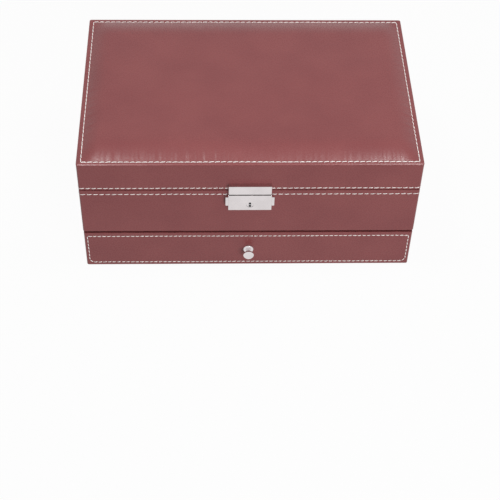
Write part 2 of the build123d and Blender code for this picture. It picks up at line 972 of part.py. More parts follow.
# Catches: an ear to press, a bridge under the tongue, and a nose over the barb
with BuildPart() as right_catch:
    with BuildSketch(face_plane(catch_back)):
        with BuildLine():
            Polyline(
                (upright_in, bridge_low),
                (ear_in, bridge_low),
                (ear_in, bridge_high),
                (upright_out, bridge_high),
                (upright_out, nose_low),
                (nose_tip, nose_low),
                (nose_tip, nose_low + nose_lip),
                (upright_out, nose_high),
                (upright_in, nose_high),
                close=True,
            )
        make_face()
    extrude(amount=catch_sheet)
    front_plate((ear_in, half_lock + ear_reach), (ear_low, ear_high), catch_back, works_front)
    ear_end = right_catch.faces().sort_by(Axis.X)[-1]
    fillet(ear_end.edges(), ear_edge)
with BuildPart() as left_catch:
    mirror(right_catch.part, about=Plane.YZ)
keep(right_catch, "right_catch")
keep(left_catch, "left_catch")

# Leaf springs: one leg on the lug, a bend, and a free leg against the catch
spring_middle = spring_sheet / 2
with BuildPart() as right_catch_spring:
    with BuildSketch(face_plane(catch_back)):
        with BuildLine():
            FilletPolyline(
                (spring_lug + spring_middle, lug_high),
                (spring_lug + spring_middle, lug_high - spring_length),
                (upright_in - spring_middle - spring_play, lug_high - spring_play),
                radius=spring_bend,
            )
        trace(line_width=spring_sheet)
    extrude(amount=catch_sheet)
with BuildPart() as left_catch_spring:
    mirror(right_catch_spring.part, about=Plane.YZ)
keep(right_catch_spring, "right_catch_spring")
keep(left_catch_spring, "left_catch_spring")
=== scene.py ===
# %% [markdown]
# A leather watch case, dressed. The boards, the lock and everything that moves come from the
# imported model, which is loaded once and never changed. What is made here is what a box maker
# adds last: the padded top, the skin that runs down the back over the hinge, the velvet cushions,
# the stitching, and the finish of every surface.

import json
import math

import bmesh
import bpy
from mathutils import Matrix, Vector, noise


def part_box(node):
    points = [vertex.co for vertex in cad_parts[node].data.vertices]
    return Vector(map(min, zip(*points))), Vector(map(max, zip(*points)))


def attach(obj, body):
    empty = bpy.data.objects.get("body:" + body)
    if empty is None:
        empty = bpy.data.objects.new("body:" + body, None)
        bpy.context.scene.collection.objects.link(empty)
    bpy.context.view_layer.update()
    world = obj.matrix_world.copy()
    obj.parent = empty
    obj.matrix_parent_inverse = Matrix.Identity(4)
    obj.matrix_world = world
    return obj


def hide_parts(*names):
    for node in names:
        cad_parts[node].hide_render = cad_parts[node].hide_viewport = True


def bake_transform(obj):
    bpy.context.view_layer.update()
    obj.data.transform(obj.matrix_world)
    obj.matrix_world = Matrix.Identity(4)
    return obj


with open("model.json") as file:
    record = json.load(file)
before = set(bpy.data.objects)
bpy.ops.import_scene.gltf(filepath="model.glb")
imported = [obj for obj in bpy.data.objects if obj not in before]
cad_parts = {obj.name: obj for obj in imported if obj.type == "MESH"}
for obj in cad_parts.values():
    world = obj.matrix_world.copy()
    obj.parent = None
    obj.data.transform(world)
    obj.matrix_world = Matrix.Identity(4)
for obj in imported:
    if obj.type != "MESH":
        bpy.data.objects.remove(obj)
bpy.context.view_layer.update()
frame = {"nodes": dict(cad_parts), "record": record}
mm = 0.001

# %% [markdown]
# Every place below is read from the model's own pieces, so that a stitch row or a cushion follows
# if the case is ever remade in another size. part_box() gives a piece's two corners.

# %% Sizes read from the pieces
_, case_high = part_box("case_leather")
lid_low, lid_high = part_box("lid_leather")
front_low, front_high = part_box("drawer_front_leather")
cover_low, cover_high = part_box("top_cover")
hinge_low, hinge_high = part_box("hinge_leather")
half_width = case_high.x
half_depth = case_high.y
corner_radius = 1.8 * mm
body_of = {
    node: body
    for body, members in frame["record"]["behaviour"]["bodies"].items()
    for node in members
}
print("outside", [round(2 * v / mm) for v in (half_width, half_depth)], "mm")

# %% [markdown]
# The camera repeats the photograph's: a long lens, looking down at about 48 degrees from a
# little left of the middle. Turning is easiest to read as three plain turns, one after the
# other: about the upright axis, down towards the table, and a small tilt of the camera itself.

# %% Camera
camera_place = Vector((-36.29, -865.89, 866.70)) * mm
look_down = math.radians(47.83)
look_right = math.radians(2.83)
tilt = math.radians(1.85)
image_side = 500
focal_pixels = 1236.4
sensor = 36.0

camera_data = bpy.data.cameras.new("camera")
camera_data.sensor_width = sensor
camera_data.lens = focal_pixels * sensor / image_side
camera = bpy.data.objects.new("camera", camera_data)
bpy.context.collection.objects.link(camera)
camera.matrix_world = (
    Matrix.Translation(camera_place)
    @ Matrix.Rotation(-look_right, 4, "Z")
    @ Matrix.Rotation(math.radians(90) - look_down, 4, "X")
    @ Matrix.Rotation(tilt, 4, "Z")
)
bpy.context.scene.camera = camera
bpy.context.scene.view_settings.view_transform = "Standard"
print("lens", round(camera_data.lens, 1), "mm")

# %% [markdown]
# Materials are node graphs. These small helpers add a node and join two sockets, so that each
# finish further down reads as a short list of what it is made of.


# %% Helpers for node graphs
def new_material(name):
    """A material with an empty graph but for its output and its Principled shader."""
    material = bpy.data.materials.new(name)
    material.use_nodes = True
    material.node_tree.nodes.clear()
    shader = add_node(material, "ShaderNodeBsdfPrincipled")
    output = add_node(material, "ShaderNodeOutputMaterial")
    join(material, shader.outputs["BSDF"], output.inputs["Surface"])
    return material, shader


def add_node(material, kind, **values):
    """A node of that kind; capitalised names are sockets and the others are settings."""
    node = material.node_tree.nodes.new(kind)
    for key, value in values.items():
        if key[0].isupper():
            node.inputs[key.replace("_", " ")].default_value = value
        else:
            setattr(node, key, value)
    return node


def join(material, source, target):
    """Links two sockets."""
    material.node_tree.links.new(source, target)


def pattern(material, kind, stretch=(1, 1, 1), **values):
    """A texture on the surface's place in metres, stretched along the axes if asked."""
    place = add_node(material, "ShaderNodeTexCoord")
    mapping = add_node(material, "ShaderNodeMapping", Scale=stretch)
    texture = add_node(material, kind, **values)
    join(material, place.outputs["Object"], mapping.inputs["Vector"])
    join(material, mapping.outputs["Vector"], texture.inputs["Vector"])
    return texture


def tint(material, factor, *stops):
    """A colour ramp from (place, colour) pairs, read at a factor."""
    ramp = add_node(material, "ShaderNodeValToRGB")
    points = ramp.color_ramp.elements
    while len(points) < len(stops):
        points.new(0.5)
    for point, (place, colour) in zip(points, stops):
        point.position = place
        point.color = (*colour, 1)
    join(material, factor, ramp.inputs["Fac"])
    return ramp.outputs["Color"]


def span(material, factor, low, high, start=0.0, end=1.0):
    """A number that runs from low to high while the factor runs from start to end."""
    node = add_node(
        material,
        "ShaderNodeMapRange",
        From_Min=start,
        From_Max=end,
        To_Min=low,
        To_Max=high,
    )
    join(material, factor, node.inputs["Value"])
    return node.outputs["Result"]


def relief(material, shader, height, depth, strength, under=None):
    """Bump as deep as given, laid over an earlier one if there is one."""
    bump = add_node(material, "ShaderNodeBump", Strength=strength, Distance=depth)
    join(material, height, bump.inputs["Height"])
    if under is not None:
        join(material, under, bump.inputs["Normal"])
    join(material, bump.outputs["Normal"], shader.inputs["Normal"])
    return bump.outputs["Normal"]


# %% [markdown]
# The leather is a coated split hide: an even red-brown, slightly cloudy, with a pebble about a
# millimetre across and a soft gloss that the pebbles break up. The pebble is a cell pattern,
# and a finer noise over it stands for the pores.


# %% Leather
def make_leather(name, light, dark, gloss):
    """Pebbled leather between two tones."""
    material, shader = new_material(name)
    cloud = pattern(material, "ShaderNodeTexNoise", Scale=28.0, Detail=4.0)
    pebble = pattern(
        material,
        "ShaderNodeTexVoronoi",
        feature="SMOOTH_F1",
        Scale=950.0,
        Smoothness=0.6,
    )
    pores = pattern(material, "ShaderNodeTexNoise", Scale=2600.0, Detail=3.0)
    colour = tint(material, cloud.outputs["Fac"], (0.34, dark), (0.66, light))
    join(material, colour, shader.inputs["Base Color"])
    rough = span(material, pebble.outputs["Distance"], gloss, gloss + 0.14, 0.1, 0.7)
    join(material, rough, shader.inputs["Roughness"])
    grain = relief(material, shader, pebble.outputs["Distance"], 0.05 * mm, 0.5)
    relief(material, shader, pores.outputs["Fac"], 0.03 * mm, 0.5, under=grain)
    shader.inputs["Specular IOR Level"].default_value = 0.3
    return material


leather = make_leather("leather", (0.233, 0.062, 0.063), (0.212, 0.054, 0.056), 0.19)

# %% [markdown]
# Velvet is short pile: nearly no gloss, a bright edge where the pile is seen side on, and a
# nap that lies in soft patches. Sheen gives the edge, and a slow noise gives the patches.
# Felt and foam are the same idea with other numbers.


# %% Velvet, felt and foam
def make_pile(name, light, dark, sheen, patch, pile):
    """A surface of fibres, with patches and hairs of the given scales."""
    material, shader = new_material(name)
    nap = pattern(material, "ShaderNodeTexNoise", Scale=patch, Detail=3.0)
    hairs = pattern(material, "ShaderNodeTexNoise", Scale=pile, Detail=2.0)
    colour = tint(material, nap.outputs["Fac"], (0.36, dark), (0.64, light))
    join(material, colour, shader.inputs["Base Color"])
    rough = span(material, hairs.outputs["Fac"], 0.82, 1.0, 0.3, 0.7)
    join(material, rough, shader.inputs["Roughness"])
    relief(material, shader, hairs.outputs["Fac"], 0.25 * mm, 0.6)
    shader.inputs["Specular IOR Level"].default_value = 0.15
    shader.inputs["Sheen Weight"].default_value = sheen
    shader.inputs["Sheen Roughness"].default_value = 0.35
    shader.inputs["Sheen Tint"].default_value = (*(min(1, 6 * v) for v in light), 1)
    return material


velvet = make_pile("velvet", (0.034, 0.021, 0.019), (0.020, 0.012, 0.011), 0.55, 45, 3200)
pad_velvet = make_pile(
    "pad_velvet", (0.046, 0.029, 0.026), (0.028, 0.017, 0.016), 0.65, 70, 3000
)
felt = make_pile("base_felt", (0.012, 0.010, 0.010), (0.007, 0.006, 0.006), 0.2, 60, 1500)
foam = make_pile("foam", (0.70, 0.66, 0.57), (0.60, 0.56, 0.47), 0.0, 80, 900)

# %% [markdown]
# Fibreboard shows only where an inner edge is left bare. It is a pale brown felt of wood
# fibres, so its noise is stretched into short lines.


# %% Fibreboard
def make_board(name, light, dark):
    """Pressed wood fibres."""
    material, shader = new_material(name)
    fibres = pattern(
        material, "ShaderNodeTexNoise", stretch=(260, 420, 900), Scale=1.0, Detail=5.0
    )
    colour = tint(material, fibres.outputs["Fac"], (0.3, dark), (0.7, light))
    join(material, colour, shader.inputs["Base Color"])
    rough = span(material, fibres.outputs["Fac"], 0.7, 0.9, 0.3, 0.7)
    join(material, rough, shader.inputs["Roughness"])
    relief(material, shader, fibres.outputs["Fac"], 0.1 * mm, 0.4)
    return material


fibreboard = make_board("fibreboard", (0.36, 0.23, 0.13), (0.22, 0.13, 0.07))

# %% [markdown]
# The lock and the knob are bright plate. Real plate is never a perfect mirror: it has faint
# rubbing marks that run one way, and its gloss drifts a little. Both come from noise, one of
# them drawn out along the rubbing.


# %% Plated metal and bare steel
def make_metal(name, colour, gloss, rubbed):
    """Metal with marks along X."""
    material, shader = new_material(name)
    shader.inputs["Metallic"].default_value = 1.0
    drift = pattern(material, "ShaderNodeTexNoise", Scale=90.0, Detail=2.0)
    marks = pattern(
        material, "ShaderNodeTexNoise", stretch=(160, 900, 5200), Scale=1.0, Detail=3.0
    )
    worn = tuple(part * 0.93 for part in colour)
    shade = tint(material, drift.outputs["Fac"], (0.35, worn), (0.65, colour))
    join(material, shade, shader.inputs["Base Color"])
    rough = span(material, marks.outputs["Fac"], gloss, gloss + rubbed, 0.3, 0.7)
    join(material, rough, shader.inputs["Roughness"])
    relief(material, shader, marks.outputs["Fac"], 0.01 * mm, 0.2)
    return material


plate = make_metal("plated_metal", (0.73, 0.685, 0.69), 0.05, 0.06)
steel = make_metal("steel", (0.45, 0.45, 0.46), 0.28, 0.15)

# %% [markdown]
# The thread is a thick off-white cotton. It is spun from three plies, which show as slanting
# ridges, and a wave pattern that runs across the diagonal makes them, both as bumps and as
# painted shade that darkens the grooves between the plies.


# %% Thread
def make_thread(name, light, dark):
    """Twisted cotton, with painted shade in the grooves between its plies."""
    material, shader = new_material(name)
    plies = pattern(
        material,
        "ShaderNodeTexWave",
        bands_direction="DIAGONAL",
        Scale=520.0,
        Distortion=0.6,
    )
    fuzz = pattern(material, "ShaderNodeTexNoise", Scale=4000.0, Detail=2.0)
    # Painted shade: the colour is darker where the wave is low, in the grooves between the plies.
    colour = tint(material, plies.outputs["Fac"], (0.0, dark), (0.6, light))
    join(material, colour, shader.inputs["Base Color"])
    rough = span(material, fuzz.outputs["Fac"], 0.6, 0.85, 0.3, 0.7)
    join(material, rough, shader.inputs["Roughness"])
    relief(material, shader, plies.outputs["Fac"], 0.08 * mm, 0.5)
    return material


# The second tone is the painted shade between the plies.
thread = make_thread("thread", (0.95, 0.92, 0.90), (0.80, 0.74, 0.71))

# %% [markdown]
# Each piece of the model names its finish in the record. One loop hands out the materials, so
# that no piece is left with a flat colour.

# %% Give every loaded piece its finish
finishes = {
    "leather": leather,
    "board": fibreboard,
    "velvet": velvet,
    "velvet_pad": pad_velvet,
    "foam": foam,
    "base_felt": felt,
    "plated_metal": plate,
    "steel": steel,
}
slot_of = {part["node"]: part["material_slot"] for part in frame["record"]["subparts"]}
for name, piece in frame["nodes"].items():
    if not piece.material_slots:
        piece.data.materials.append(None)
    for place in piece.material_slots:
        place.material = finishes[slot_of[name]]
print("finishes given to", len(frame["nodes"]), "pieces")

# %% [markdown]
# Every new piece ends the same way: its mesh becomes an object at the origin, it takes the finish
# of the record's slot and smooth shading, and it rides on its body if it is given one.
# Faces that meet at more than 35 degrees keep a crisp edge between them.


# %% Helpers that finish a piece
def make_piece(name, shape, slot, body=None, finish=None):
    """An object from a bmesh or a mesh, dressed and riding on its body."""
    mesh = shape
    if isinstance(shape, bmesh.types.BMesh):
        mesh = bpy.data.meshes.new(name)
        shape.to_mesh(mesh)
        shape.free()
    mesh.materials.clear()
    mesh.materials.append(finish or finishes[slot])
    mesh.shade_smooth()
    mesh.set_sharp_from_angle(angle=math.radians(35))
    piece = bpy.data.objects.new(name, mesh)
    bpy.context.collection.objects.link(piece)
    if body:
        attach(piece, body)
    return piece


def move(shape, verts, step):
    """Moves vertices of a bmesh by a step."""
    bmesh.ops.translate(shape, verts=verts, vec=step)


def new_verts(made):
    """The vertices among what an operator made."""
    return [part for part in made["geom"] if isinstance(part, bmesh.types.BMVert)]


def new_edges(made):
    """The edges among what an operator made."""
    return [part for part in made["geom"] if isinstance(part, bmesh.types.BMEdge)]


# %% [markdown]
# A board that is wrapped in velvet has no sharp edge left. The model's own boards are plain,
# so each is copied, its loose triangles are merged into whole faces, and its edges are
# rounded. The same helper does for the linings.

# %% Rounded edges on the velvet-wrapped boards
wrapped_boards = ["long_divider", "drawer_dividers"]
wrapped_boards += [name for name in frame["nodes"] if name.startswith("cross_divider")]
linings = ["tray_lining", "lid_wall_lining", "drawer_lining"]


def rounded_copy(node, name, radius, body=None):
    """A copy of a model piece with its edges rounded, standing for that piece."""
    shape = bmesh.new()
    shape.from_mesh(frame["nodes"][node].data)
    bmesh.ops.remove_doubles(shape, verts=shape.verts, dist=0.01 * mm)
    bmesh.ops.dissolve_limit(
        shape, angle_limit=math.radians(2), verts=shape.verts, edges=shape.edges
    )
    corners = [edge for edge in shape.edges if edge.calc_face_angle(0) > math.radians(40)]
    bmesh.ops.bevel(
        shape,
        geom=corners,
        offset=radius,
        segments=3,
        profile=0.5,
        affect="EDGES",
        material=-1,
        clamp_overlap=True,
    )
    piece = make_piece(name, shape, slot_of[node], body)
    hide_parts(node)
    return piece


for node in wrapped_boards:
    rounded_copy(node, node + "_wrapped", 0.9 * mm, body_of[node])
for node in linings:
    rounded_copy(node, node + "_wrapped", 0.35 * mm, body_of[node])

# %% [markdown]
# Behind each ear of the lock, a bent leaf of spring steel pushes the catch outwards. One leg
# leans on the back plate and the other follows the catch. Here each leaf is the model's own
# spring, copied with its edges rounded and left where it is.

# %% Catch springs
for side, catch in ((1, "right_catch"), (-1, "left_catch")):
    node = catch + "_spring"
    leaf = rounded_copy(node, catch + "_leaf", 0.05 * mm)
    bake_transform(leaf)

# %% [markdown]
# The padded top is the piece that the eye meets first. A leather panel with a flat hem is
# stitched down all round, and the foam under it lifts the leather just inside the stitches.
# A grid is enough for it. Each of its vertices is lifted by how far it lies inside the
# stitching, once for the sides and once for the front and back. The two are multiplied, and
# so the corners stay softer than the edges. Where the foam pushes against the seam, the
# leather gathers in fine wrinkles square to the stitches. Outside the seam, the hem falls
# towards its rim.

# %% Shape of a padded panel
hem_height = 1.6 * mm
hem_fall = 1.0 * mm
seam_to_foam = 1.3 * mm
groove_depth = 0.35 * mm
groove_reach = 0.9 * mm
crown_ease = 0.2
crown_power = 1.7
fine_wrinkle = 1.6 * mm
wide_wrinkle = 5.0 * mm
wrinkle_group = 60 * mm
sag_inside = 40 * mm


def closer_at_rim(share, half):
    """Places a grid line, with the last lines crowded into the hem."""
    fine, split = 4 * mm, 0.93
    if abs(share) <= split:
        return share / split * (half - fine)
    inside = (1 - abs(share)) / (1 - split) * fine
    return math.copysign(half - inside, share)


def hem_drop(beyond):
    """From 0 at the seam to 1 at the rim, steeper as it goes."""
    return 0.3 * beyond + 0.7 * beyond**2


def swell(inside, slope):
    """From 0 just inside the seam to 1 where the foam has its whole height, easing in there."""
    to_go = 1 - max(0.0, inside - seam_to_foam) / slope
    eased = (to_go + math.hypot(to_go, crown_ease)) / (1 + math.hypot(1, crown_ease))
    return 1 - eased**crown_power


def gathers(inside, along, reach):
    """Wrinkles square to a seam: strongest a little inside it, and gone at their reach."""
    if not 0 < inside < reach:
        return 0.0
    run = inside / reach
    fine = noise.noise(Vector((along / fine_wrinkle, run * 0.7, 0.3)))
    wide = noise.noise(Vector((along / wide_wrinkle, run * 0.5, 4.7)))
    grouped = 0.6 + max(0.0, noise.noise(Vector((along / wrinkle_group, 0, 8.1)))) * 2
    return (fine + 0.8 * wide) * grouped * math.sin(math.pi * run**0.6) ** 1.5


def padded_panel(half_x, half_y, hems, cells, rise, slopes, wrinkle, sag, flat_back=0.0):
    """A panel over foam, on z = 0; its hems and slopes are given for the sides and the ends."""
    shape = bmesh.new()
    bmesh.ops.create_grid(shape, x_segments=cells[0], y_segments=cells[1], size=1.0)
    for vertex in shape.verts:
        x = closer_at_rim(vertex.co.x, half_x)
        y = closer_at_rim(vertex.co.y, half_y)
        side, end = half_x - hems[0] - abs(x), half_y - hems[1] - abs(y)
        lift = rise * swell(side, slopes[0]) * swell(end, slopes[1])
        lift += wrinkle * gathers(end, x, slopes[1]) * swell(side, slopes[0])
        lift += wrinkle * gathers(side, y, slopes[0]) * swell(end, slopes[1])
        uneven = noise.noise(Vector((x / (55 * mm), y / (45 * mm), 1.9)))
        lift += sag * (uneven - 0.6) * swell(side, sag_inside) * swell(end, sag_inside)
        lift -= groove_depth * math.exp(-((min(side, end) / groove_reach) ** 2))
        beyond = min(1.0, max(0.0, -side / hems[0], -end / hems[1]))
        flatter = 1 - flat_back * (1 + y / half_y) / 2
        lift -= hem_fall * hem_drop(beyond) * flatter
        cut = Vector((corner_radius - half_x + abs(x), corner_radius - half_y + abs(y)))
        if min(cut) > 0:
            cut *= 1 - max(cut) / cut.length
            x -= math.copysign(cut.x, x)
            y -= math.copysign(cut.y, y)
        vertex.co = (x, y, hem_height + lift)
    return shape


# %% [markdown]
# The panel's outline is then drawn down to the lid and closed below, with its foot tucked in
# a little under the hem. The top panel reaches half a millimetre over the lid's front and
# back.


# %% Turn the panel's edge down and tuck its foot in
def close_panel(shape, tuck):
    """Gives a panel its sides and underside, with its foot this much further in."""
    rim = [edge for edge in shape.edges if edge.is_boundary]
    reach = max(vertex.co.x for vertex in shape.verts), max(vertex.co.y for vertex in shape.verts)
    foot = bmesh.ops.extrude_edge_only(shape, edges=rim)
    feet = new_verts(foot)
    for vertex in feet:
        vertex.co.z = 0
    narrower = (1 - tuck / reach[0], 1 - tuck / reach[1], 1)
    bmesh.ops.scale(shape, vec=narrower, verts=feet)
    bmesh.ops.holes_fill(shape, edges=[e for e in shape.edges if e.is_boundary], sides=0)
    bmesh.ops.recalc_face_normals(shape, faces=shape.faces)


# %% Padded top
overhang = 0.5 * mm
panel_x, panel_y = half_width, half_depth + overhang
hems = (4.0 * mm, 3.4 * mm)
top = padded_panel(
    panel_x,
    panel_y,
    hems,
    cells=(330, 240),
    rise=cover_high.z - cover_low.z - hem_height,
    slopes=(14 * mm, 22 * mm),
    wrinkle=0.2 * mm,
    sag=0.25 * mm,
    flat_back=0.9,
)
close_panel(top, tuck=1.0 * mm)
move(top, top.verts, (0, 0, cover_low.z))
padded_top = make_piece("padded_top", top, "leather", "lid")
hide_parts("top_cover", "top_pad")
print("padded top", len(padded_top.data.polygons), "faces")

# %% [markdown]
# The lid's roof has the same kind of panel inside, thinner and in velvet. It is made lying on
# its back and turned over.

# %% Padded roof
roof_low, roof_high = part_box("lid_roof_pad")
roof = padded_panel(
    roof_high.x,
    roof_high.y,
    (3 * mm, 3 * mm),
    cells=(140, 90),
    rise=roof_high.z - roof_low.z - hem_height,
    slopes=(16 * mm, 16 * mm),
    wrinkle=0.08 * mm,
    sag=0.3 * mm,
)
close_panel(roof, tuck=0.3 * mm)
over = Matrix.Rotation(math.pi, 4, "X")
bmesh.ops.transform(roof, matrix=Matrix.Translation((0, 0, roof_high.z)) @ over, verts=roof.verts)
padded_roof = make_piece("padded_roof", roof, "velvet_pad", "lid")
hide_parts("lid_roof_pad")

# %% [markdown]
# The back of the case is one skin from the lid's top edge to the table. It is also the hinge:
# when the lid opens, the leather bends in the few millimetres on both sides of the parting line,
# where years of use would press a shallow crease. It is drawn up row by row from one straight
# edge, with many thin rows where the leather bends, and is built as one fixed piece.

# %% Rear skin
flat_half = half_width - corner_radius
bend_rows = 16
plain_rows = (2 * mm, 40 * mm, hinge_low.z - 6 * mm)
levels = [
    *plain_rows,
    *(
        hinge_low.z + (hinge_high.z - hinge_low.z) * step / bend_rows
        for step in range(bend_rows + 1)
    ),
    hinge_high.z + 6 * mm,
    lid_high.z,
]

parting = (case_high.z + lid_low.z) / 2
crease_depth = 0.5 * mm
crease_reach = 1.1 * mm


def crease(height):
    """How far the leather has sunk into the gap between case and lid."""
    return crease_depth * math.exp(-(((height - parting) / crease_reach) ** 2))


skin = bmesh.new()
ends = [skin.verts.new((x, half_depth, 0)) for x in (flat_half, -flat_half)]
row = [skin.edges.new(ends)]
height = 0.0
for level in levels:
    grown = bmesh.ops.extrude_edge_only(skin, edges=row)
    move(skin, new_verts(grown), (0, crease(height) - crease(level), level - height))
    row = [e for e in new_edges(grown) if abs(e.verts[0].co.z - e.verts[1].co.z) < 1e-7]
    height = level

# %% [markdown]
# At the hinge the skin also goes round the case's two rear corners, to where the side leather
# begins. Spinning the ends of those rows about the corner's own centre follows its rounding.

# %% Corners of the hinge, and the leather's thickness
overlap = 1.0 * mm
skin_thickness = 0.85 * mm
top_rounding = 0.6 * mm
corner_turn = math.acos(1 - overlap / corner_radius)
for side in (-1, 1):
    inner = [
        edge
        for edge in skin.edges
        if edge.is_boundary
        and all(side * v.co.x > flat_half - 1e-6 for v in edge.verts)
        and all(hinge_low.z - 1e-6 < v.co.z < hinge_high.z + 1e-6 for v in edge.verts)
    ]
    bmesh.ops.spin(
        skin,
        geom=inner,
        cent=(side * flat_half, half_depth - corner_radius, 0),
        axis=(0, 0, -side),
        angle=corner_turn,
        steps=4,
    )
bmesh.ops.remove_doubles(skin, verts=skin.verts, dist=0.01 * mm)
bmesh.ops.recalc_face_normals(skin, faces=skin.faces)
if sum(face.normal.y for face in skin.faces) < 0:
    bmesh.ops.reverse_faces(skin, faces=skin.faces)
bmesh.ops.solidify(skin, geom=skin.faces[:], thickness=skin_thickness)
bmesh.ops.recalc_face_normals(skin, faces=skin.faces)
top_edge = [
    edge
    for edge in skin.edges
    if all(v.co.z > lid_high.z - 1e-6 and v.co.y > half_depth - 1e-6 for v in edge.verts)
]
bmesh.ops.bevel(
    skin,
    geom=top_edge,
    offset=top_rounding,
    segments=3,
    profile=0.5,
    affect="EDGES",
    material=-1,
)
rear_skin = make_piece("rear_skin", skin, "leather")
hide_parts("rear_leather", "hinge_leather", "lid_rear_leather")
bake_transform(rear_skin)
print("rear skin", len(rear_skin.data.polygons), "faces")

# %% [markdown]
# Inside, a strip of velvet closes the gap behind the cushions, on the inner side of the wall. It
# is cut across into thin rows where it would bend.

# %% Hinge lining
fold_low, fold_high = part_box("hinge_lining")
fold = bmesh.new()
bmesh.ops.create_cube(fold, size=1.0)
bmesh.ops.scale(fold, vec=fold_high - fold_low, verts=fold.verts)
move(fold, fold.verts, (fold_low + fold_high) / 2)
fold_rows = 18
for step in range(1, fold_rows):
    bmesh.ops.bisect_plane(
        fold,
        geom=fold.verts[:] + fold.edges[:] + fold.faces[:],
        plane_co=fold_low + (fold_high - fold_low) * step / fold_rows,
        plane_no=(0, 0, 1),
    )
hinge_velvet = make_piece("hinge_velvet", fold, "velvet")
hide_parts("hinge_lining")
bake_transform(hinge_velvet)

# %% [markdown]
# A watch cushion is a tube of velvet with an end sewn in at each side, stuffed with foam. The
# tube is drawn from an outline with rounded corners. Each end is filled and divided into
# rings, so that it can belly out. It lies along X, because the strap goes round it that way.


# %% Tube with sewn ends
ringed_share = 0.62


def round_outline(verts, half_deep, half_tall, rounding):
    """Puts points in the YZ plane on a rounded rectangle, evenly spaced along it."""
    straight_y, straight_z = half_deep - rounding, half_tall - rounding
    arc = rounding * math.pi / 2
    whole = 4 * (straight_y + straight_z + arc)
    for index, vertex in enumerate(verts):
        run = whole * index / len(verts)
        quarter = [
            ((half_deep, -straight_z), (0, 1), 2 * straight_z, (straight_y, straight_z), 0),
            ((straight_y, half_tall), (-1, 0), 2 * straight_y, (-straight_y, straight_z), 90),
            ((-half_deep, straight_z), (0, -1), 2 * straight_z, (-straight_y, -straight_z), 180),
            ((-straight_y, -half_tall), (1, 0), 2 * straight_y, (straight_y, -straight_z), 270),
        ]
        for start, way, straight, centre, turned in quarter:
            if run <= straight:
                vertex.co.y = start[0] + way[0] * run
                vertex.co.z = start[1] + way[1] * run
                break
            run -= straight
            if run <= arc:
                angle = math.radians(turned) + run / rounding
                vertex.co.y = centre[0] + rounding * math.cos(angle)
                vertex.co.z = centre[1] + rounding * math.sin(angle)
                break
            run -= arc


def sewn_tube(length, deep, tall, rounding, around, steps, rings):
    """A closed tube along X; returns it with the numbers of its seam's vertices."""
    shape = bmesh.new()
    outline = bmesh.ops.create_circle(shape, segments=around, radius=1.0)["verts"]
    for vertex in outline:
        vertex.co.x = -length / 2
    round_outline(outline, deep / 2, tall / 2, rounding)
    row = shape.edges[:]
    for step in range(steps):
        grown = bmesh.ops.extrude_edge_only(shape, edges=row)
        move(shape, new_verts(grown), (length / steps, 0, 0))
        last = -length / 2 + length * (step + 1) / steps
        row = [e for e in new_edges(grown) if all(abs(v.co.x - last) < 1e-7 for v in e.verts)]
    bmesh.ops.holes_fill(shape, edges=[e for e in shape.edges if e.is_boundary], sides=0)
    bmesh.ops.recalc_face_normals(shape, faces=shape.faces)
    shape.verts.index_update()
    seam = [v.index for v in shape.verts if abs(abs(v.co.x) - length / 2) < 1e-7]
    for _ in range(rings):
        ends = [face for face in shape.faces if len(face.verts) == around]
        bmesh.ops.inset_region(shape, faces=ends, thickness=tall / 2 * ringed_share / rings)
    bmesh.ops.poke(shape, faces=[face for face in shape.faces if len(face.verts) == around])
    return shape, seam


# %% [markdown]
# Air pressure is a good stand-in for stuffing. Blender's cloth expects things the size of
# clothes, so the tube is made ten times as large, filled for twenty frames with its seams
# held, and made small again. The cloth is cut a little too large, which is what makes it
# gather at the seams. The cushion must not leave the room that the model gives it, so every
# point is kept inside that box.

# %% Stuffing
enlarge = 10.0
frames = 20


def stuffed(shape, seam, room, pressure, spare):
    """The mesh of a tube after it was filled, kept inside the room (lowest, highest)."""
    mesh = bpy.data.meshes.new("stuffing")
    bmesh.ops.scale(shape, vec=(enlarge,) * 3, verts=shape.verts)
    shape.to_mesh(mesh)
    shape.free()
    dummy = bpy.data.objects.new("stuffing", mesh)
    bpy.context.collection.objects.link(dummy)
    held = dummy.vertex_groups.new(name="seam")
    held.add(seam, 1.0, "REPLACE")
    cloth = dummy.modifiers.new("cloth", "CLOTH")
    cloth.settings.quality = 6
    cloth.settings.use_pressure = True
    cloth.settings.uniform_pressure_force = pressure
    cloth.settings.shrink_min = -spare
    cloth.settings.vertex_group_mass = "seam"
    cloth.settings.effector_weights.gravity = 0
    cloth.point_cache.frame_start = 1
    cloth.point_cache.frame_end = frames
    for number in range(1, frames + 1):
        bpy.context.scene.frame_set(number)
    seen = dummy.evaluated_get(bpy.context.evaluated_depsgraph_get())
    filled = bpy.data.meshes.new_from_object(seen)
    bpy.data.objects.remove(dummy)
    bpy.context.scene.frame_set(1)
    low, high = room
    for vertex in filled.vertices:
        place = vertex.co / enlarge
        vertex.co = [min(max(v, a), b) for v, a, b in zip(place, low, high)]
    return filled


# %% [markdown]
# Three cushions are filled, each with the cloth a little uneven in its own way. Turned end
# for end they give six, so that no two neighbours look the same. One level of subdivision
# smooths the facets away.

# %% Twelve watch cushions
first_low, first_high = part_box("watch_pillow_1")
pillow_size = first_high - first_low
side_room = 0.6 * mm
seam_draw = 4.0 * mm
pillow_room = (
    Vector((-pillow_size.x / 2 - side_room, -pillow_size.y / 2, -pillow_size.z / 2)),
    Vector((pillow_size.x / 2 + side_room, pillow_size.y / 2, pillow_size.z / 2)),
)


def loosen(shape, size, amount, seed):
    """Moves every vertex a little, so that the filling isn't even."""
    for vertex in shape.verts:
        vertex.co += noise.noise_vector(vertex.co / size + Vector((seed, 0, 0))) * amount


def stand_as_cushion(piece, node):
    """Smooths a stuffed piece and lets it stand for the model's plain one."""
    finer = piece.modifiers.new("finer", "SUBSURF")
    finer.levels = finer.render_levels = 1
    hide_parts(node)


